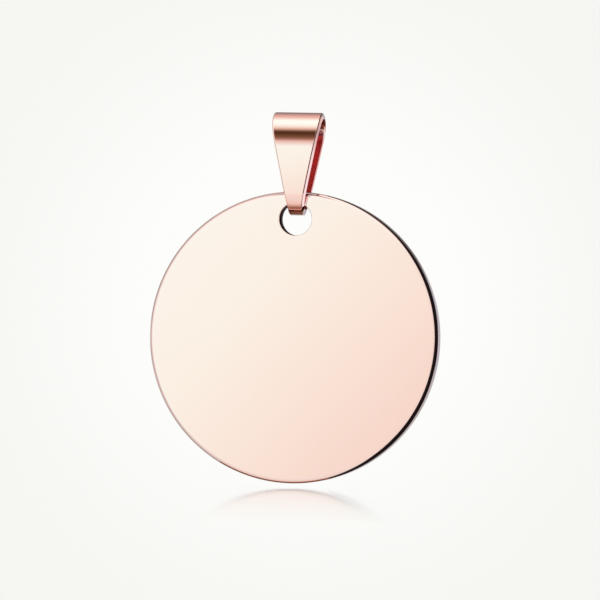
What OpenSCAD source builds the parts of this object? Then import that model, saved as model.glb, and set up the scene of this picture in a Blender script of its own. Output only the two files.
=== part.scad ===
// A plain polished disc that hangs from a folded strip bail.
// X runs to the wearer's left along the chain, Y runs from the front to the back, Z is up.
// The origin is the underside of the bail's top bend, where the chain carries the pendant.

/* [Disc] */
// Diameter of the disc
disc_d = 25; // [20:0.5:30]
// Thickness of the disc
disc_t = 2; // [1.5:0.1:2.2]
// Radius of the rounded edges of the rim
rim_r = 0.3; // [0.1:0.05:0.5]
// Diameter of the drilled hole
hole_d = 2.8; // [2.8:0.05:3.2]
// Metal left between the hole and the top of the rim
web_h = 0.96; // [0.9:0.02:1.1]
// Width of the bevel round each edge of the hole
hole_bevel = 0.12; // [0.1:0.01:0.2]

/* [Bail] */
// Thickness of the folded strip
strip_t = 0.5; // [0.4:0.05:0.55]
// Depth over both legs at the top bend, outside
bail_depth = 5; // [4.4:0.1:5.4]
// Drop from the chain seat to the centre of the curl
curl_drop = 6.14; // [6:0.01:7]
// Inner radius of the curl that carries the disc
curl_r = 1.7; // [1.6:0.05:1.9]
// Width of the strip over the top bend
top_w = 4.1; // [3.6:0.1:4.6]
// Width of the strip where it enters the hole
neck_w = 1.4; // [1.1:0.02:1.4]
// Width of the strip at the bottom of the curl
foot_w = 1.22; // [1:0.02:1.24]

/* [Fit] */
// Drop from the centre of the curl to the top of the rim
rim_drop = 0.16; // [0.1:0.01:0.2]

/* [Hidden] */
$fn = 128;

// The pendant hangs, so the heights count down from the chain seat
top_r = bail_depth / 2;
top_z = strip_t - top_r;
curl_z = -curl_drop;
curl_outer_r = curl_r + strip_t;
foot_z = curl_z - curl_outer_r;
disc_z = curl_z - rim_drop - disc_d / 2;
hole_z = curl_z - rim_drop - web_h - hole_d / 2;
cut_over = 0.5;

// Half widths of the strip seen from the front, from the top bend down
strip_outline = [
    // half width, height
    [top_w / 2, strip_t],
    [top_w / 2, -0.2],
    [top_w / 2 - 0.15, -1.26],
    [neck_w / 2, curl_z - 0.96],
    [foot_w / 2 + 0.01, curl_z - 1.56],
    [foot_w / 2, foot_z],
];

// Half of the disc's section, from its axis out to the rounded rim
module disc_section() {
    translate([0, -disc_t / 2])
        square([disc_d / 2 - rim_r, disc_t]);
    translate([0, rim_r - disc_t / 2])
        square([disc_d / 2, disc_t - 2 * rim_r]);
    for (side = [-1, 1])
        translate([disc_d / 2 - rim_r, side * (disc_t / 2 - rim_r)])
            circle(rim_r);
}

// One drilled hole, opened by a bevel at both faces
module hanging_hole() {
    cylinder(d = hole_d, h = disc_t + 2 * cut_over, center = true);
    for (side = [0, 1])
        mirror([0, 0, side])
            translate([0, 0, disc_t / 2 - hole_bevel])
                cylinder(
                    r1 = hole_d / 2,
                    r2 = hole_d / 2 + hole_bevel + cut_over,
                    h = hole_bevel + cut_over
                );
}

module disc() {
    color("#e8b8a6")
        difference() {
            translate([0, 0, disc_z])
                rotate([90, 0, 0])
                    rotate_extrude()
                        disc_section();
            translate([0, 0, hole_z])
                rotate([90, 0, 0])
                    hanging_hole();
        }
}

// A level slice of whatever is drawn in it, between two heights
module between(low, high) {
    intersection() {
        children();
        translate([-bail_depth, low])
            square([2 * bail_depth, high - low]);
    }
}

// The loop's outline in the side view, or with an inset the outline of the space inside it
module loop_outline(inset) {
    between(top_z, strip_t)
        translate([0, top_z])
            circle(top_r - inset);
    polygon([
        [inset - curl_outer_r, curl_z],
        [curl_outer_r - inset, curl_z],
        [top_r - inset, top_z],
        [inset - top_r, top_z],
    ]);
    between(foot_z, curl_z)
        translate([0, curl_z])
            circle(curl_outer_r - inset);
}

// The closed loop of strip at full width, before its edges are trimmed to the taper
module folded_loop() {
    rotate([90, 0, 90])
        translate([0, 0, -top_w])
            linear_extrude(2 * top_w)
                difference() {
                    loop_outline(0);
                    loop_outline(strip_t);
                }
}

// The taper of the strip in the front view
module front_taper() {
    right_side = [for (p = strip_outline) p];
    left_side = [for (i = [len(strip_outline) - 1 : -1 : 0]) [-strip_outline[i][0], strip_outline[i][1]]];
    rotate([90, 0, 0])
        translate([0, 0, -bail_depth])
            linear_extrude(2 * bail_depth)
                polygon(concat(right_side, left_side));
}

module bail() {
    color("#dca08c")
        intersection() {
            folded_loop();
            front_taper();
        }
}

disc();
bail();
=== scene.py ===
# %% [markdown]
# A disc pendant, from its frame to its finish
#
# The pendant is a plain round plate of rose-gold plated steel, mirror polished, that hangs from a
# folded strip bail. Two pieces, and hardly any detail to hide behind: what sells it is the exact
# outline, the soft rounding of each edge, and what the polish reflects. The CAD model gives the
# fixed frame, so every piece here is fitted into the space of its solid and never moves it.

from math import cos, pi, radians, sin

import bmesh
import bpy
from mathutils import Matrix, Vector


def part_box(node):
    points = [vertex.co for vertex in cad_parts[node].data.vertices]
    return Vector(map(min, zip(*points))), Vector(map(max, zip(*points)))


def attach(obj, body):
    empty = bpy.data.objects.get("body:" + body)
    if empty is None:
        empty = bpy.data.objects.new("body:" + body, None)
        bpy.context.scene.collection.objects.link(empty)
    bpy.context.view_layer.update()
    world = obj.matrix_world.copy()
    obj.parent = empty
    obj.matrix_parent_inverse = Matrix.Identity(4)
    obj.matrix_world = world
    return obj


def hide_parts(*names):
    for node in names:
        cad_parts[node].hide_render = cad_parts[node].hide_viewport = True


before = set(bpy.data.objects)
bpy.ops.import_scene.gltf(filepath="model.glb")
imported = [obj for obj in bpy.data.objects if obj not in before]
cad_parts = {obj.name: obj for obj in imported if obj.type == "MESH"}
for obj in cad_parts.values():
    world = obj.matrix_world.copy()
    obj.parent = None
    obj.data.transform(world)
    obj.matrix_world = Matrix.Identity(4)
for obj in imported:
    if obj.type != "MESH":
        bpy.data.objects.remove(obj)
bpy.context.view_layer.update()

MM = 0.001
print("CAD nodes", sorted(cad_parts))

# %% [markdown]
# Helpers for the pieces
#
# Both pieces begin as a few corners of a section that is swept round an axis. A bmesh holds such a
# shape while operators work on it. When it is done, it becomes an object at the origin with its
# place in its mesh, smooth shaded, with its faces pointing outwards. All lengths are given in mm.

# %% Helpers
# Corners nearer than this become one, and faces that turn by more than this meet at an edge
one_corner = 0.0005
edge_turn = 45


def section(bm, corners, closed=False):
    """The corners, joined one after another by edges."""
    verts = [bm.verts.new(Vector(c) * MM) for c in corners]
    pairs = list(zip(verts, verts[1:]))
    if closed:
        pairs.append((verts[-1], verts[0]))
    return verts + [bm.edges.new(p) for p in pairs]


def sweep(bm, geom, centre, axis, angle, steps, full=False):
    """Spins a section about an axis and gives the section that it ends in."""
    swept = bmesh.ops.spin(
        bm,
        geom=geom,
        cent=Vector(centre) * MM,
        axis=axis,
        angle=angle,
        steps=steps,
        use_merge=full,
    )
    return swept["geom_last"]


def sharp_edges(bm):
    """Edges where two faces meet at more than the turn of an edge."""
    return [
        e for e in bm.edges if len(e.link_faces) == 2 and e.calc_face_angle() > radians(edge_turn)
    ]


def round_over(bm, edges, offset, segments):
    """Rounds the given edges."""
    bmesh.ops.bevel(
        bm,
        geom=edges,
        offset=offset * MM,
        offset_type="OFFSET",
        affect="EDGES",
        segments=segments,
        profile=0.5,
        clamp_overlap=False,
        material=-1,
    )


def finished(name, bm):
    """Closes the mesh, points its faces outwards and makes it an object."""
    bmesh.ops.remove_doubles(bm, verts=bm.verts, dist=one_corner * MM)
    bmesh.ops.recalc_face_normals(bm, faces=bm.faces)
    for face in bm.faces:
        face.smooth = True
    open_edges = sum(1 for e in bm.edges if len(e.link_faces) != 2)
    mesh = bpy.data.meshes.new(name)
    bm.to_mesh(mesh)
    bm.free()
    piece = bpy.data.objects.new(name, mesh)
    bpy.context.scene.collection.objects.link(piece)
    print(name, "faces", len(mesh.polygons), "open edges", open_edges)
    return piece


# %% [markdown]
# The plate's rim
#
# On the real pendant the plate is punched from sheet and tumbled, so its rim is a straight wall
# with a soft round at each face. A cylinder primitive would give the wall, but its flat faces
# would end in the middle of the plate, where the hole has to be cut. So the rim's section, three
# straight lines, is spun about the plate's axis instead, and the bevel operator then rounds its two
# corners. The short lines on the faces keep the shading of the flats level. The rim gets the second
# material, because it is less finely polished than the faces.

# %% Rim
disc_low, disc_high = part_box("disc")
disc_r = (disc_high.x - disc_low.x) / 2 / MM
disc_half_t = (disc_high.y - disc_low.y) / 2 / MM
disc_z = (disc_high.z + disc_low.z) / 2 / MM
rim_round = 0.38
rim_flat = 0.1
rim_steps = 192
rim_segments = 10
# A face whose normal has at least this much of Y is flat
level = 0.999


def wall_ring(bm, centre_z, wall_r, flat_r):
    """A round wall through the plate, with flats on both faces that reach to flat_r."""
    corners = [
        (flat_r, -disc_half_t, centre_z),
        (wall_r, -disc_half_t, centre_z),
        (wall_r, disc_half_t, centre_z),
        (flat_r, disc_half_t, centre_z),
    ]
    sweep(bm, section(bm, corners), (0, 0, centre_z), (0, 1, 0), 2 * pi, rim_steps, full=True)


disc_bm = bmesh.new()
wall_ring(disc_bm, disc_z, disc_r, disc_r - rim_round - rim_flat)
round_over(disc_bm, sharp_edges(disc_bm), rim_round, rim_segments)
for face in disc_bm.faces:
    if abs(face.normal.y) < level:
        face.material_index = 1
print("rim faces", len(disc_bm.faces))

# %% [markdown]
# The hanging hole
#
# The hole is drilled near the top of the plate and its edges are broken by a narrow bevel, so it is
# the same kind of wall as the rim, with its flats on the outside. Its drilled wall gets the third
# material, which is painted dark as shade. It is made in a bmesh of its own, so that the bevel
# rounds its edges alone, and is then added to the plate.

# %% Hole
hole_r = 1.4
hole_bevel = 0.07
hole_flat = 0.05
hole_segments = 3
# The metal that is left between the hole and the top of the rim
hole_web = 0.96
hole_z = disc_high.z / MM - hole_web - hole_r
# A face of the drilled wall has less of Y in its normal than this
wall_lean = 0.2

hole_bm = bmesh.new()
wall_ring(hole_bm, hole_z, hole_r, hole_r + hole_bevel + hole_flat)
round_over(hole_bm, sharp_edges(hole_bm), hole_bevel, hole_segments)
for face in hole_bm.faces:
    face.material_index = 2 if abs(face.normal.y) < wall_lean else 1
hole_mesh = bpy.data.meshes.new("hole_walls")
hole_bm.to_mesh(hole_mesh)
hole_bm.free()
disc_bm.from_mesh(hole_mesh)
bpy.data.meshes.remove(hole_mesh)
print("hole at", round(hole_z, 2), "mm")

# %% [markdown]
# The plate's faces
#
# Each face of the plate is filled between the rim's loop and the hole's loop. A boolean would also
# cut the hole, but it leaves edges across the rounds whose shading would show in the mirror polish.
# Bridging the two loops would twist, because the hole lies far off the centre. A triangle fill
# takes both loops at once, and since the face is flat, its long triangles don't show.

# %% Faces
for facing in (-1, 1):
    loops = [
        e
        for e in disc_bm.edges
        if len(e.link_faces) == 1 and all(v.co.y * facing > 0 for v in e.verts)
    ]
    made = bmesh.ops.triangle_fill(
        disc_bm, use_beauty=True, edges=loops, normal=(0, facing, 0)
    )
    print("face", facing, "filled by", len(made["geom"]))
disc = finished("disc_plate", disc_bm)

# %% [markdown]
# The folded strip
#
# The bail is a flat strip, wide in the middle and narrow at its ends, folded over the chain and
# curled through the hole. It is swept here as the real one is bent: one cross section goes over the
# top bend, down the back leg, round the curl and up the front leg, each a spin about its own axis.
# Each leg is a very slow bend that leaves the top bend and meets the curl without a kink, because a
# kink would break the reflection in the polish.

# %% Fold
bail_low, bail_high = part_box("bail")
strip_t = 0.5
half_depth = bail_high.y / MM
top_z = bail_high.z / MM - half_depth
curl_outer_r = 2.2
curl_z = bail_low.z / MM + curl_outer_r
drop = top_z - curl_z
# The leg's bend is tangent to both: its centre is level with the top bend's
leg_r = (drop**2 + half_depth**2 - curl_outer_r**2) / (2 * (half_depth - curl_outer_r))
leg_turn = Vector((leg_r - half_depth, drop)).angle(Vector((1, 0)))
print("leg radius", round(leg_r, 2), "mm, turn", round(leg_turn * 180 / pi, 2), "degrees")

bail_bm = bmesh.new()
lanes = (-1, -0.5, 0.5, 1)
outer_lane = [(u, -half_depth, top_z) for u in lanes]
inner_lane = [(u, strip_t - half_depth, top_z) for u in reversed(lanes)]
strip = section(bail_bm, outer_lane + inner_lane, closed=True)
bends = [
    # centre y, centre z, angle, steps
    (0, top_z, pi, 64),
    (half_depth - leg_r, top_z, leg_turn, 12),
    (0, curl_z, pi - 2 * leg_turn, 56),
    (leg_r - half_depth, top_z, leg_turn, 12),
]
for y, z, angle, steps in bends:
    strip = sweep(bail_bm, strip, (0, y, z), (-1, 0, 0), angle, steps)
bmesh.ops.remove_doubles(bail_bm, verts=bail_bm.verts, dist=one_corner * MM)
bmesh.ops.recalc_face_normals(bail_bm, faces=bail_bm.faces)
print("strip faces", len(bail_bm.faces))

# %% [markdown]
# The width of the strip
#
# Seen from the front, the strip is widest over the chain and narrows evenly to the hole. A function
# gives the half width at a height, in straight stretches between a few measured ones. The strip was
# cut with a soft corner where one stretch meets the next, so a second function averages the first
# over a short height.

# %% Width
half_widths = [
    # height, half width
    (0.5, 2.05),
    (-0.2, 2.05),
    (-1.26, 1.9),
    (-7.1, 0.7),
    (-7.7, 0.62),
    (-8.34, 0.61),
]
eased_h = 0.25


def width_at(z):
    """Half width of the strip at a height, in straight stretches."""
    for (z0, w0), (z1, w1) in zip(half_widths, half_widths[1:]):
        if z >= z1:
            return w0 + (w1 - w0) * min(1, max(0, (z0 - z) / (z0 - z1)))
    return half_widths[-1][1]


def soft_width(z):
    """The same, with the corners between the stretches eased."""
    return sum(width_at(z + eased_h * k / 2) for k in (-2, -1, 0, 1, 2)) / 5


print("half width at the seat", round(soft_width(0), 3), "mm")

# %% [markdown]
# The taper
#
# The sweep was made with a plain width, so every vertex is now moved sideways to the width at its
# height. The fold has squeezed the inner face and spread it, so that face is a little wider than
# the outer one, and gets a material of its own. Two lanes of vertices stay just inside the edges:
# they keep the wide face level when its edges are rounded.

# %% Taper
outer_round = 0.1
inner_round = 0.04
outer_segments = 3
inner_segments = 2
# The sweep's edges lie at 1 and its inner lanes at 0.5, so this parts them
edge_lane = 0.75
lane_inset = outer_round + 0.04
# A face whose normal has more of X than this is a narrow side
narrow_side = 0.5
inner_flare = 0.14
# The back leg has this share of the inner flare, and a little width of its own
back_share = 0.5
back_flare = 0.05


def faces_inwards(normal, place):
    """True on the inner side of the loop."""
    core_z = min(max(place.z, curl_z * MM), top_z * MM)
    return normal.dot(Vector((0, place.y, place.z - core_z))) < 0


inner_faces = [
    f
    for f in bail_bm.faces
    if abs(f.normal.x) < narrow_side and faces_inwards(f.normal, f.calc_center_median())
]
for face in inner_faces:
    face.material_index = 1
inner_verts = {v for f in inner_faces for v in f.verts}
for v in bail_bm.verts:
    unit = v.co.x / MM
    backward = min(1, max(0, v.co.y / MM))
    flare = inner_flare * (1 - back_share * backward) if v in inner_verts else 0
    edge = soft_width(v.co.z / MM) + flare + back_flare * backward
    inset = lane_inset if abs(unit) < edge_lane else 0
    v.co.x = (edge - inset) * MM * (1 if unit > 0 else -1)
print("inner faces", len(inner_faces))

# %% [markdown]
# The strip's edges
#
# The long edges of a real strip are tumbled soft, which is the thin dark line that outlines it. The
# outer edges are rounded more than the inner ones, which the tumbling hardly reaches, so the bevel
# operator goes over the outer ones first. What is still sharp after that are the inner ones.

# %% Edges
outer_edges = [e for e in sharp_edges(bail_bm) if e.verts[0] not in inner_verts]
round_over(bail_bm, outer_edges, outer_round, outer_segments)
round_over(bail_bm, sharp_edges(bail_bm), inner_round, inner_segments)
bail = finished("bail_strip", bail_bm)

# %% [markdown]
# Helpers for the nodes
#
# Materials, lights and the background are all made of nodes. A few helpers keep them readable: one
# makes a node with its settings and links, one makes a colour ramp from a list of stops, and one
# measures how far a place lies along a direction. Stops are written in mm or degrees, as they are
# measured, and turned into positions from 0 to 1 on the way in. Fades are kept as shares from 0 to
# 1, so that several of them can be multiplied together.


# %% Nodes
def node(tree, kind, links=(), **settings):
    """A node with its settings, its inputs linked or filled in by name or number."""
    n = tree.nodes.new(kind)
    for key, value in settings.items():
        setattr(n, key, value)
    for socket, source in links:
        if isinstance(source, bpy.types.NodeSocket):
            tree.links.new(source, n.inputs[socket])
        else:
            n.inputs[socket].default_value = source
    return n


def ramp(tree, source, stops):
    """A colour ramp with stops of (position, colour or grey)."""
    n = node(tree, "ShaderNodeValToRGB", [("Fac", source)])
    marks = n.color_ramp.elements
    while len(marks) < len(stops):
        marks.new(0.5)
    for mark, (position, _) in zip(marks, stops):
        mark.position = position
    for mark, (_, shade) in zip(marks, stops):
        mark.color = (*shade, 1) if isinstance(shade, tuple) else (shade, shade, shade, 1)
    return n.outputs["Color"]


def share_between(tree, source, low, high):
    """0 to 1 while the source goes from low to high."""
    return node(tree, "ShaderNodeMapRange", [(0, source), (1, low), (2, high)]).outputs[0]


def measured(tree, place, other, operation):
    """A number from two places or directions, such as their distance."""
    n = node(tree, "ShaderNodeVectorMath", [(0, place), (1, other)], operation=operation)
    return n.outputs["Value"]


def spread(stops):
    """Stops in mm or degrees, as positions from 0 at the first to 1 at the last."""
    low, high = stops[0][0], stops[-1][0]
    return [((at - low) / (high - low), shade) for at, shade in stops]


def ramp_along(tree, place, direction, stops):
    """A colour ramp along a direction, whose stops are in mm."""
    low, high = stops[0][0], stops[-1][0]
    reach = share_between(tree, measured(tree, place, direction, "DOT_PRODUCT"), low * MM, high * MM)
    return ramp(tree, reach, spread(stops))


def product(tree, share, *others):
    """Several shares multiplied together."""
    for other in others:
        both = node(tree, "ShaderNodeMath", [(0, share), (1, other)], operation="MULTIPLY")
        share = both.outputs[0]
    return share


# %% [markdown]
# Trees and groups
#
# A material and the background each hold one tree of nodes. An effect that several materials share
# goes into a node group instead, a small tree with named inputs and outputs. Inside a group, noise
# is wanted by the size of its patches, while Blender asks for its scale, which is one over that.


# %% Groups
def empty_tree(owner):
    """The node tree of a material or world, cleared."""
    owner.use_nodes = True
    owner.node_tree.nodes.clear()
    return owner.node_tree


def group(name, inputs, outputs):
    """An empty shader node group with named inputs and outputs."""
    tree = bpy.data.node_groups.new(name, "ShaderNodeTree")
    for label, kind, value in inputs:
        socket = tree.interface.new_socket(label, in_out="INPUT", socket_type=kind)
        socket.default_value = value
    for label, kind in outputs:
        tree.interface.new_socket(label, in_out="OUTPUT", socket_type=kind)
    return tree, tree.nodes.new("NodeGroupInput").outputs, tree.nodes.new("NodeGroupOutput").inputs


def noise(tree, place, size, **links):
    """A noise whose patches have about the given size."""
    per_size = node(tree, "ShaderNodeMath", [(0, 1.0), (1, size)], operation="DIVIDE").outputs[0]
    inputs = [("Vector", place), ("Scale", per_size), *links.items()]
    return node(tree, "ShaderNodeTexNoise", inputs).outputs["Fac"]


# %% [markdown]
# The colour of the plating
#
# Rose-gold plate is a film a few thousandths of a millimetre thick over polished steel, and its
# colour drifts a little with its thickness. A node group mixes two plate colours by a soft noise.
# Every surface then takes the group with its own two colours, patch size and amount, where a copy
# of the nodes in each material would have to be mended in five places.

# %% Plate tone
COLOR, FLOAT, VECTOR = "NodeSocketColor", "NodeSocketFloat", "NodeSocketVector"

plate_tone, tone_from, tone_to = group(
    "plate_tone",
    [
        ("Place", VECTOR, (0, 0, 0)),
        ("Plate", COLOR, (0.9, 0.6, 0.5, 1)),
        ("Thin Plate", COLOR, (0.9, 0.7, 0.6, 1)),
        ("Patch Size", FLOAT, 0.01),
        ("Amount", FLOAT, 0.3),
    ],
    [("Color", COLOR)],
)
patches = noise(
    plate_tone, tone_from["Place"], tone_from["Patch Size"], Detail=2.0, Roughness=0.4
)
thinned = product(plate_tone, patches, tone_from["Amount"])
plate_mix = node(
    plate_tone,
    "ShaderNodeMix",
    [(0, thinned), (6, tone_from["Plate"]), (7, tone_from["Thin Plate"])],
    data_type="RGBA",
)
plate_tone.links.new(plate_mix.outputs[2], tone_to["Color"])
print("group", plate_tone.name)

# %% [markdown]
# The polish
#
# Even a mirror polish keeps the faintest haze and buffing lines. A second group gives a roughness
# that drifts between two values, and a height for the lines, which are a fine noise stretched
# sideways, the way the buffing wheel ran.

# %% Polish
# The noise hardly ever leaves this range
haze_low, haze_high = 0.3, 0.7
line_stretch = (0.08, 1.0, 1.0)

polish, polish_from, polish_to = group(
    "buffed_polish",
    [
        ("Place", VECTOR, (0, 0, 0)),
        ("Haze Size", FLOAT, 0.004),
        ("Low Roughness", FLOAT, 0.02),
        ("High Roughness", FLOAT, 0.06),
        ("Line Size", FLOAT, 0.00008),
    ],
    [("Roughness", FLOAT), ("Height", FLOAT)],
)
haze = noise(polish, polish_from["Place"], polish_from["Haze Size"], Detail=4.0)
roughness = node(
    polish,
    "ShaderNodeMapRange",
    [
        (0, haze),
        (1, haze_low),
        (2, haze_high),
        (3, polish_from["Low Roughness"]),
        (4, polish_from["High Roughness"]),
    ],
)
stretched = node(
    polish,
    "ShaderNodeVectorMath",
    [(0, polish_from["Place"]), (1, line_stretch)],
    operation="MULTIPLY",
)
buff_lines = noise(polish, stretched.outputs[0], polish_from["Line Size"], Detail=2.0)
polish.links.new(roughness.outputs[0], polish_to["Roughness"])
polish.links.new(buff_lines, polish_to["Height"])
print("group", polish.name)

# %% [markdown]
# A plated metal
#
# The mirror faces are a metal with a very low roughness. A plain white metal in a tinted light
# would look the same from the front but wrong from the side, so the colour is in the metal, where
# it also deepens with every reflection between the two pieces. A plated metal is made once, as a
# function, and each surface gives it its own colours, patch size, roughness and depth of the
# buffing lines. Where painted shading by height is given, it takes the place of the first colour.

# %% Plated metal
haze_size = 4.0
line_size = 0.08


def plated(name, colours, patch, amount, polished, line_depth, edge_tint=1.0, painted_shading_by_height=None):
    """A metal of two colours, patchy by an amount, with a roughness between two values."""
    mat = bpy.data.materials.new(name)
    tree = empty_tree(mat)
    place = node(tree, "ShaderNodeTexCoord").outputs["Object"]
    plate, thin = colours
    colour = node(
        tree,
        "ShaderNodeGroup",
        [
            ("Place", place),
            ("Plate", ramp_along(tree, place, (0, 0, 1), painted_shading_by_height) if painted_shading_by_height else (*plate, 1)),
            ("Thin Plate", (*thin, 1)),
            ("Patch Size", patch * MM),
            ("Amount", amount),
        ],
        node_tree=plate_tone,
    )
    buff = node(
        tree,
        "ShaderNodeGroup",
        [
            ("Place", place),
            ("Haze Size", haze_size * MM),
            ("Low Roughness", polished[0]),
            ("High Roughness", polished[1]),
            ("Line Size", line_size * MM),
        ],
        node_tree=polish,
    )
    bump = node(
        tree,
        "ShaderNodeBump",
        [("Height", buff.outputs["Height"]), ("Strength", 1.0), ("Distance", line_depth * MM)],
    )
    shader = node(
        tree,
        "ShaderNodeBsdfPrincipled",
        [
            ("Base Color", colour.outputs["Color"]),
            ("Metallic", 1.0),
            ("Roughness", buff.outputs["Roughness"]),
            ("Specular Tint", (edge_tint, edge_tint, edge_tint, 1)),
            ("Normal", bump.outputs["Normal"]),
        ],
    )
    node(tree, "ShaderNodeOutputMaterial", [("Surface", shader.outputs[0])])
    return mat


rose = (0.95, 0.665, 0.585)
rose_thin = (0.94, 0.70, 0.62)
bail_rose = (0.95, 0.67, 0.59)
disc_metal = plated(
    "disc_rose_gold",
    (rose, rose_thin),
    patch=9,
    amount=0.5,
    polished=(0.015, 0.04),
    line_depth=0.00001,
)
bail_metal = plated(
    "bail_rose_gold",
    (bail_rose, rose_thin),
    patch=5,
    amount=0.4,
    polished=(0.03, 0.06),
    line_depth=0.00002,
)
print("mirror faces", disc_metal.name, bail_metal.name)

# %% [markdown]
# The rim and the drilled wall
#
# The rim is tumbled, not buffed, so it is a little greyer and hazier than the faces. The wall of
# the hole is painted a dull dark brown as painted shade, and it stays dark even at a glance, where
# a metal would turn into a mirror. The Principled shader's specular tint sets what a metal shows at
# a glance, so a low one keeps the wall dark.

# %% Rim and wall metals
rim_rose = (0.88, 0.68, 0.62)
rim_metal = plated(
    "disc_rim_rose_gold",
    (rim_rose, rose_thin),
    patch=3,
    amount=0.4,
    polished=(0.1, 0.16),
    line_depth=0.00002,
)
# Painted shade: the hole's wall is a dark brown that stands in for the shade inside the hole
hole_painted_shade_browns = ((0.5, 0.28, 0.2), (0.36, 0.2, 0.14))
hole_metal = plated(
    "disc_hole_wall_painted_shade",
    hole_painted_shade_browns,
    patch=0.6,
    amount=0.8,
    polished=(0.16, 0.24),
    line_depth=0.0001,
    edge_tint=0.02,
)
print("plain walls", rim_metal.name, hole_metal.name)

# %% [markdown]
# The inside of the fold
#
# Inside, the plating is a redder copper. The two legs face each other, so the light between them
# takes on more of that colour with each bounce, and the thin strip of the inside that shows turns
# deep red without being painted so. Over the copper lies painted shading by height: painted shade
# under the top bend, a painted highlight just below it, and a little darker towards the bottom of
# the curl. It is a ramp along Z.

# %% Inner metal
inner_coppers = ((0.93, 0.42, 0.42), (0.88, 0.36, 0.34))
# Painted shading: -1.55 to -0.75 is a painted highlight, the dark end under the top bend is painted
# shade
inner_painted_shading = [
    # height and the shade there
    (-7.8, (0.75, 0.36, 0.34)),
    (-6.5, (0.9, 0.39, 0.38)),
    (-2.6, (0.93, 0.41, 0.4)),
    (-1.85, (0.9, 0.41, 0.4)),
    (-1.55, (0.97, 0.75, 0.73)),
    (-1.2, (0.99, 0.84, 0.82)),
    (-0.75, (0.97, 0.7, 0.62)),
    (-0.4, (0.3, 0.1, 0.08)),
    (-0.05, (0.15, 0.05, 0.04)),
]
inner_metal = plated(
    "bail_inner_copper_painted_shade",
    inner_coppers,
    patch=2,
    amount=0.15,
    polished=(0.1, 0.16),
    line_depth=0.00003,
    painted_shading_by_height=inner_painted_shading,
)
print("inner shades", len(inner_painted_shading))

# %% [markdown]
# Dressing the solids
#
# Each piece takes its materials in the order of its material numbers. It then rides on the body of
# its CAD node, so that the disc swings with its joint, and stands in the node's place.

# %% Dressing
for piece, metals in (
    (disc, (disc_metal, rim_metal, hole_metal)),
    (bail, (bail_metal, inner_metal)),
):
    for metal in metals:
        piece.data.materials.append(metal)

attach(disc, "disc")
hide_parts("disc")
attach(bail, "bail")
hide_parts("bail")
print("materials", [m.name for m in bpy.data.materials])

# %% [markdown]
# The light tent
#
# A mirror shows the studio more than itself, so the studio is the picture. The pendant hangs in a
# light tent, which is the world's background: bright ahead and overhead, dark below and behind, and
# pale again at the very back, where the polish meets the pale ground. The top bend is a cylinder
# that lies sideways, so it mirrors the tent in level bands. A ramp over the angle from front to
# back paints these, and a second one over the sideways direction shades them.

# %% Tent
tent_bands = [
    # angle in degrees from straight ahead over the top to the back, and the tone there
    (-180, 0.98),
    (-177.5, 0.98),
    (-176, 0.7),
    (-172, 0.36),
    (-168, 0.6),
    (-160, 0.85),
    (-154, 0.5),
    (-146, (0.12, 0.08, 0.06)),
    (-135, (0.2, 0.12, 0.09)),
    (-97, (0.26, 0.1, 0.05)),
    (-88, (0.34, 0.15, 0.1)),
    (-78, (0.61, 0.46, 0.41)),
    (-67, (0.94, 0.78, 0.74)),
    (-46, 0.94),
    (-23, 1.0),
    (0, 1.25),
    (68, 1.25),
    (74, 1.45),
    (90, 1.45),
    (96, (1.12, 1.24, 1.22)),
    (102, (0.97, 1.0, 0.96)),
    (108, (0.92, 0.81, 0.77)),
    (115, (0.86, 0.62, 0.59)),
    (132, (0.62, 0.43, 0.42)),
    (145, (0.36, 0.27, 0.27)),
    (159, (0.26, 0.24, 0.26)),
    (165, 0.16),
    (173, 0.16),
    (176, 0.7),
    (177.5, 0.98),
    (180, 0.98),
]
tent_sides = [
    # sideways direction from -1 at the left to 1 at the right, and its share
    (-1.0, 0.75),
    (-0.92, 0.8),
    (-0.75, 0.9),
    (-0.6, 0.94),
    (-0.4, 0.97),
    (-0.2, 1),
    (0.3, 1),
    (0.7, 0.8),
    (1.0, 0.7),
]
world = bpy.data.worlds.new("studio")
bpy.context.scene.world = world
sky = empty_tree(world)
looking = node(sky, "ShaderNodeTexCoord").outputs["Generated"]
parts = node(sky, "ShaderNodeSeparateXYZ", [(0, looking)]).outputs
ahead = product(sky, parts["Y"], -1.0)
turn = node(sky, "ShaderNodeMath", [(0, parts["Z"]), (1, ahead)], operation="ARCTAN2").outputs[0]
bands = ramp(sky, share_between(sky, turn, -pi, pi), spread(tent_bands))
sides = ramp(sky, share_between(sky, parts["X"], -1.0, 1.0), spread(tent_sides))
tent = node(
    sky,
    "ShaderNodeMix",
    [(0, 1.0), (6, bands), (7, sides)],
    data_type="RGBA",
    blend_type="MULTIPLY",
).outputs[2]
print("tent bands", len(tent_bands))

# %% [markdown]
# The lilac patch and the ground
#
# The right wall of the rim mirrors one direction only, behind to the right, and shows a lilac grey
# there. A soft patch in that direction of the tent gives it. The camera itself must not see the
# tent but a pale ground, lit a little brighter behind the pendant. Light Path tells the camera's
# own rays from the mirrored ones, so it chooses between the two backgrounds.

# %% Background
camera_turn = radians(8.5)
towards_camera = Vector((sin(camera_turn), -cos(camera_turn), 0))
behind_right = Vector((sin(camera_turn), cos(camera_turn), 0))
lilac = (0.5, 0.52, 0.6, 1)
patch_reach = 0.16
patch_stops = [(0, 1), (0.6, 1), (1, 0)]
halo_reach = 0.06
halo_stops = [
    (0, (0.985, 0.985, 0.965)),
    (0.42, (0.98, 0.98, 0.96)),
    (0.8, (0.93, 0.93, 0.905)),
    (1, (0.92, 0.92, 0.895)),
]


def round_spot(centre, reach, stops):
    """A ramp outwards from a direction, until it is as far off as its reach."""
    off_centre = measured(sky, looking, centre, "DISTANCE")
    return ramp(sky, share_between(sky, off_centre, 0.0, reach), stops)


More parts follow.
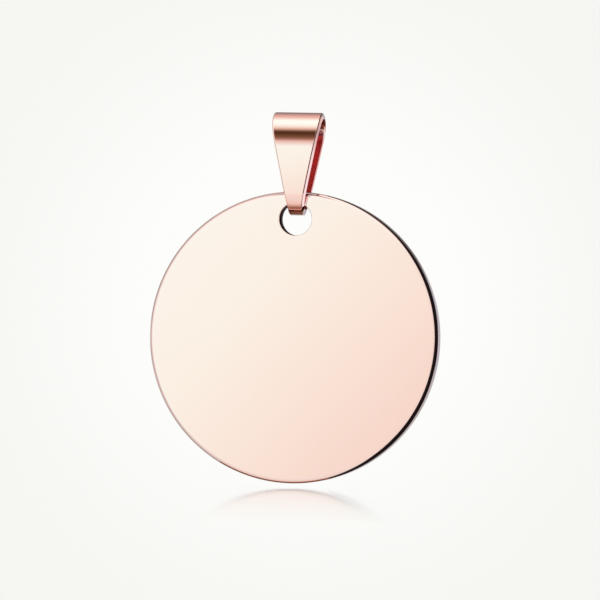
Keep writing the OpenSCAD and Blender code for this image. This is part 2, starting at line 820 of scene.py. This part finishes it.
patched = node(
    sky,
    "ShaderNodeMix",
    [(0, round_spot(behind_right, patch_reach, patch_stops)), (6, tent), (7, lilac)],
    data_type="RGBA",
).outputs[2]
reflected = node(sky, "ShaderNodeBackground", [("Color", patched)]).outputs[0]
ground = round_spot(-towards_camera, halo_reach, halo_stops)
seen = node(sky, "ShaderNodeBackground", [("Color", ground)]).outputs[0]
camera_ray = node(sky, "ShaderNodeLightPath").outputs["Is Camera Ray"]
either = node(sky, "ShaderNodeMixShader", [(0, camera_ray), (1, reflected), (2, seen)])
node(sky, "ShaderNodeOutputWorld", [("Surface", either.outputs[0])])
print("background nodes", len(sky.nodes))

# %% [markdown]
# Cards
#
# Jewellery is lit with cards, sheets that glow with a tone of their own. The camera doesn't see
# them, only the polish does. A card that ended in a hard edge would draw that edge in every
# reflection, so a card can also be made clear little by little: its glow is mixed with a
# transparent shader by a share from 0 to 1.


# %% Cards
def card(name, bm, tone_at, share_at=None):
    """A stage card that glows with a tone and lets light through where its share is low."""
    sheet = finished(name, bm)
    mat = bpy.data.materials.new(name)
    tree = empty_tree(mat)
    place = node(tree, "ShaderNodeTexCoord").outputs["Object"]
    tone_here = tone_at(tree, place) if callable(tone_at) else (*tone_at, 1)
    surface = node(tree, "ShaderNodeEmission", [("Color", tone_here)]).outputs[0]
    if share_at:
        clear = node(tree, "ShaderNodeBsdfTransparent").outputs[0]
        mix = [(0, share_at(tree, place)), (1, clear), (2, surface)]
        surface = node(tree, "ShaderNodeMixShader", mix).outputs[0]
    node(tree, "ShaderNodeOutputMaterial", [("Surface", surface)])
    sheet.data.materials.append(mat)
    sheet.visible_camera = False
    return sheet


def flat_card(name, width, low, high, tone_at, fades):
    """A plain upright card, which fades along each of several directions."""

    def share_at(tree, place):
        return product(tree, *(ramp_along(tree, place, *fade) for fade in fades))

    bm = bmesh.new()
    bmesh.ops.create_grid(bm, x_segments=1, y_segments=1, size=0.5)
    bmesh.ops.rotate(bm, verts=bm.verts, matrix=Matrix.Rotation(pi / 2, 3, "X"))
    bmesh.ops.scale(bm, verts=bm.verts, vec=(width * MM, 1, (high - low) * MM))
    bmesh.ops.translate(bm, verts=bm.verts, vec=(0, 0, (low + high) / 2 * MM))
    return card(name, bm, tone_at, share_at)


# %% [markdown]
# The front sheet
#
# A large lit sheet stands ahead of the pendant, turned as far to the left as the camera is to the
# right, because that is where the flat faces send the camera's view. Its tone falls off down and to
# the right, which is the soft drift from cream to peach over the disc. The disc is a plane mirror,
# so the drift is a ramp along one slanting line on the sheet.

# %% Front sheet
sheet_far = 80
sheet_width = 120
sheet_low, sheet_high = -60, 40
up_left = (-0.74, 0, 0.67)
drift_low, drift_high = -36.2, 11.8
drift_stops = [
    # share of the way up and to the left, and the tone there
    (0.0, (0.96, 0.93, 0.92)),
    (0.2, (0.98, 1.0, 0.98)),
    (0.3, (0.995, 1.08, 1.06)),
    (0.42, (1.01, 1.17, 1.16)),
    (0.6, (1.02, 1.29, 1.3)),
    (0.8, (1.03, 1.34, 1.38)),
    (1.0, (1.03, 1.35, 1.39)),
]
sheet_fades = [
    # direction on the sheet, and the shares along it
    ((0, 0, 1), [(-60, 0), (-40, 1), (5, 1), (35, 0)]),
    ((1, 0, 0), [(-60, 0), (-36, 1), (36, 1), (60, 0)]),
]


def drift(tree, place):
    """The front sheet's tone."""
    reach = measured(tree, place, up_left, "DOT_PRODUCT")
    return ramp(tree, share_between(tree, reach, drift_low * MM, drift_high * MM), drift_stops)


front_sheet = flat_card("front_sheet", sheet_width, sheet_low, sheet_high, drift, sheet_fades)
leftwards = Matrix.Rotation(-camera_turn, 4, "Z")
sheet_place = (-sin(camera_turn) * sheet_far * MM, -cos(camera_turn) * sheet_far * MM, 0)
front_sheet.matrix_world = Matrix.Translation(sheet_place) @ leftwards
print("front sheet", sheet_far, "mm ahead")

# %% [markdown]
# The bend card
#
# The lower half of the top bend mirrors what lies ahead of it, a little below and above the level
# of the chain. The photograph has a brown band there, so a small card with that band hangs close
# before the bend. It is kept clear of the disc's face, which mirrors nothing of it at rest.

# %% Bend card
bend_width = 10
bend_low, bend_high = -2.5, 7.5
bend_card_at = (-0.3 * MM, -5.5 * MM, 0)
bend_tones = [
    # height and the tone there
    (-1.95, (0.86, 0.68, 0.66)),
    (-1.45, (0.45, 0.275, 0.225)),
    (-0.85, (0.23, 0.117, 0.075)),
    (-0.2, (0.15, 0.077, 0.045)),
    (0.65, (0.078, 0.034, 0.016)),
    (1.4, (0.14, 0.075, 0.05)),
    (2.0, (0.36, 0.25, 0.2)),
    (2.75, (0.72, 0.56, 0.5)),
    (3.6, (0.91, 0.8, 0.75)),
    (4.5, (0.93, 1.02, 0.95)),
    (6.1, (0.98, 1.2, 1.2)),
]
bend_fades = [
    # direction on the card, and the shares along it
    ((0, 0, 1), [(-2.5, 0), (-1.9, 1), (5.0, 1), (7.5, 0)]),
    ((1, 0, 0), [(-5, 0), (-3, 1), (3, 1), (5, 0)]),
]
bend_card = flat_card(
    "bend_card",
    bend_width,
    bend_low,
    bend_high,
    lambda tree, place: ramp_along(tree, place, (0, 0, 1), bend_tones),
    bend_fades,
)
bend_card.matrix_world = Matrix.Translation(bend_card_at)
print("bend tones", len(bend_tones))

# %% [markdown]
# Cards beside the strip
#
# In the photograph the strip's right edge is a dark line, a grey line and a pale ribbon, side by
# side. Lights far away can't draw these, because a rounded edge mirrors half the room. So three
# narrow cards stand close beside the strip and follow its fold. That close, each is mirrored only
# by the part of the edge that it stands by, and from other sides it hardly shows. Each is a short
# line spun as the strip was, then moved sideways to stand off the strip's width.

# %% Side cards
side_gap = 0.15
bend_steps, leg_steps, curl_steps = 24, 12, 12
near_black = (0.012, 0.009, 0.011)
edge_grey = (0.26, 0.2, 0.2)
wall_tones = [
    # height and the tone there
    (-7, (1.05, 1.02, 1.12)),
    (-3.2, (1.05, 1.02, 1.12)),
    (-2.2, (0.85, 0.7, 0.72)),
    (-1.2, (0.6, 0.46, 0.55)),
    (-0.6, (0.85, 0.68, 0.72)),
    (0.5, (0.85, 0.7, 0.74)),
]


def beside_strip(name, front, back, tone, into_curl):
    """A card from front to back behind the strip's outer face, and some degrees into the curl."""
    bm = bmesh.new()
    line = section(bm, [(0, front - half_depth, top_z), (0, back - half_depth, top_z)])
    sweep(bm, line, (0, 0, top_z), (-1, 0, 0), pi / 2, bend_steps)
    line = sweep(bm, line, (0, leg_r - half_depth, top_z), (1, 0, 0), leg_turn, leg_steps)
    sweep(bm, line, (0, 0, curl_z), (1, 0, 0), radians(into_curl), curl_steps)
    for v in bm.verts:
        v.co.x = (soft_width(min(v.co.z / MM, strip_t)) + side_gap) * MM
    return card(name, bm, tone)


side_card = beside_strip("side_card", front=-0.33, back=0.07, tone=near_black, into_curl=2)
edge_card = beside_strip("edge_card", front=0.07, back=0.26, tone=edge_grey, into_curl=45)
wall_card = beside_strip(
    "wall_card",
    front=0.26,
    back=0.6,
    tone=lambda tree, place: ramp_along(tree, place, (0, 0, 1), wall_tones),
    into_curl=45,
)
print("side cards stand off", side_gap, "mm")

# %% [markdown]
# Collars
#
# The rim is rounded too, so only what stands close to it can draw a line of a set width on it. Two
# arcs stand just off the rim. The right one is black, and reaches forward as far as the dark line
# is to reach over the rounded edge. The left one is grey and narrow, and gives that side its thin
# soft outline. Each is an arc spun about the plate's axis, whose front and back edges are then
# drawn out to their own reach at each angle. A vertex attribute says how far a place lies behind
# the front edge, and a ramp over it lets the black one fade in.

# %% Collars
collar_gap = 0.3
collar_r = disc_r + collar_gap
collar_steps = 90
fade_in = [(0, 0), (0.35, 1)]


def reach_at(reaches, angle, column):
    """The front (1) or back (2) edge at an angle, between the rows of a collar."""
    for row, next_row in zip(reaches, reaches[1:]):
        if angle >= next_row[0]:
            way = min(1, max(0, (row[0] - angle) / (row[0] - next_row[0])))
            return row[column] + (next_row[column] - row[column]) * way
    return reaches[-1][column]


def collar(name, reaches, tone, share_at=None):
    """An arc round the rim, clockwise from its first row to its last."""
    start, end = radians(reaches[0][0]), radians(reaches[-1][0])
    middle = (start + end) / 2
    bm = bmesh.new()
    from_front = bm.verts.layers.float.new("from_front")
    x, z = collar_r * cos(start), disc_z + collar_r * sin(start)
    # One corner before and one behind the middle, until each gets its own reach
    line = section(bm, [(x, -1, z), (x, 1, z)])
    sweep(bm, line, (0, 0, disc_z), (0, 1, 0), start - end, collar_steps)
    for v in bm.verts:
        out = Vector((v.co.x, v.co.z - disc_z * MM))
        angle = middle + out.angle_signed(Vector((cos(middle), sin(middle))))
        at_back = v.co.y > 0
        v[from_front] = 1 if at_back else 0
        v.co.y = reach_at(reaches, angle * 180 / pi, 2 if at_back else 1) * MM
    return card(name, bm, tone, share_at)


def soft_front(tree, place):
    """Lets light through at the front edge of a collar."""
    inwards = node(tree, "ShaderNodeAttribute", attribute_name="from_front").outputs["Fac"]
    return ramp(tree, inwards, fade_in)


# %% [markdown]
# The dark and the grey line
#
# The rows give each collar's edges at angles from the right upwards. The dark line in the
# photograph is widest at the lower right and thins out towards the top and the bottom, so the black
# collar reaches furthest forward there. The grey line keeps nearly the same width all along.

# %% Rim lines
black_reaches = [
    # angle, front edge and back edge
    (78, -0.76, -0.3),
    (60, -1.15, -0.3),
    (45, -1.4, -0.3),
    (30, -2.05, -0.3),
    (15, -2.75, -0.32),
    (0, -3.6, -0.4),
    (-15, -4.4, -0.62),
    (-30, -4.6, -0.52),
    (-45, -4.4, -0.45),
    (-60, -1.9, -0.4),
    (-75, -1.05, -0.35),
]
grey_reaches = [
    (240, -1.1, -0.64),
    (180, -1.14, -0.64),
    (100, -1.09, -0.64),
    (82, -0.99, -0.64),
]
rim_grey = (0.62, 0.58, 0.6)
black_collar = collar("black_collar", black_reaches, near_black, soft_front)
grey_collar = collar("grey_collar", grey_reaches, rim_grey)
print("collars", black_collar.name, grey_collar.name, collar_gap, "mm off the rim")

# %% [markdown]
# The floor
#
# The pendant stands just above a pale glossy sheet, so the foot of the plate shows again in it,
# faint and upside down, and fades within a few millimetres. A floor that was glossy all over would
# mirror the cards and the tent as well. So this one is clear, and a gloss is mixed in where it is
# wanted: before the foot of the plate, not far to either side, and only at a glance, as the Fresnel
# node tells. Fresnel takes a face seen from behind for the inside of glass, so the sheet has to
# face up.

# %% Floor
floor_gap = 0.24
floor_z = disc_low.z - floor_gap * MM
floor_r = 1200
floor_bm = bmesh.new()
bmesh.ops.create_circle(floor_bm, cap_ends=True, segments=96, radius=floor_r * MM)
bmesh.ops.translate(floor_bm, verts=floor_bm.verts, vec=(0, 0, floor_z))
floor = finished("floor_sheet", floor_bm)
floor.data.flip_normals()
floor_mat = bpy.data.materials.new("pale_glossy_sheet")
floor_tree = empty_tree(floor_mat)
spot = node(floor_tree, "ShaderNodeTexCoord").outputs["Object"]
rightwards = (cos(camera_turn), sin(camera_turn), 0)
gloss_ior = 1.5
gloss_roughness = 0.06


def soft_step(source, near, far, at_near, at_far):
    """A soft step between two distances."""
    return node(
        floor_tree,
        "ShaderNodeMapRange",
        [(0, source), (1, near * MM), (2, far * MM), (3, at_near), (4, at_far)],
        interpolation_type="SMOOTHSTEP",
    ).outputs[0]


before_foot = measured(floor_tree, spot, towards_camera, "DOT_PRODUCT")
sideways = measured(floor_tree, spot, rightwards, "DOT_PRODUCT")
either_side = node(floor_tree, "ShaderNodeMath", [(0, sideways)], operation="ABSOLUTE").outputs[0]
glance = node(floor_tree, "ShaderNodeFresnel", [("IOR", gloss_ior)]).outputs[0]
gloss_share = product(
    floor_tree,
    soft_step(before_foot, near=2, far=8, at_near=0.0, at_far=1.0),
    soft_step(before_foot, near=0, far=110, at_near=1.0, at_far=0.0),
    soft_step(either_side, near=3.5, far=8.5, at_near=1.0, at_far=0.0),
    glance,
    glance,
    glance,
)
clear = node(floor_tree, "ShaderNodeBsdfTransparent").outputs[0]
gloss = node(
    floor_tree,
    "ShaderNodeBsdfAnisotropic",
    [("Color", (1, 1, 1, 1)), ("Roughness", gloss_roughness)],
).outputs[0]
floor_mix = node(floor_tree, "ShaderNodeMixShader", [(0, gloss_share), (1, clear), (2, gloss)])
node(floor_tree, "ShaderNodeOutputMaterial", [("Surface", floor_mix.outputs[0])])
floor.data.materials.append(floor_mat)
print("floor at", round(floor_z / MM, 2), "mm")

# %% [markdown]
# The camera
#
# The photograph was taken from a little to the right with a long lens: the right rim shows its
# thickness and the bail its inner side, while the disc stays all but round. The camera stands level
# with the disc and is rolled by the small lean of the pendant. It is then moved sideways and up
# until the disc's centre lies where it does in the picture, which needs no shift of the lens.

# %% Camera
photo_px = 600
disc_px = (294.9, 337.5)
camera_roll = radians(1.1)
camera_far = 0.550
camera_data = bpy.data.cameras.new("camera")
camera_data.lens = 384.8
camera_data.sensor_width = 36
camera_data.clip_start = 0.01
camera_data.clip_end = 10
camera = bpy.data.objects.new("camera", camera_data)
bpy.context.scene.collection.objects.link(camera)
bpy.context.scene.camera = camera

aim = (-towards_camera).to_track_quat("-Z", "Y").to_matrix()
turned = aim @ Matrix.Rotation(camera_roll, 3, "Z")
px_per_m = camera_data.lens / camera_data.sensor_width * photo_px / camera_far
across = (disc_px[0] - photo_px / 2) / px_per_m
upward = (photo_px / 2 - disc_px[1]) / px_per_m
disc_centre = Vector((0, 0, disc_z * MM))
stand = disc_centre + towards_camera * camera_far - turned @ Vector((across, upward, 0))
camera.matrix_world = Matrix.Translation(stand) @ turned.to_4x4()
bpy.context.scene.view_settings.view_transform = "Standard"
print("pixels per mm", round(px_per_m * MM, 3))
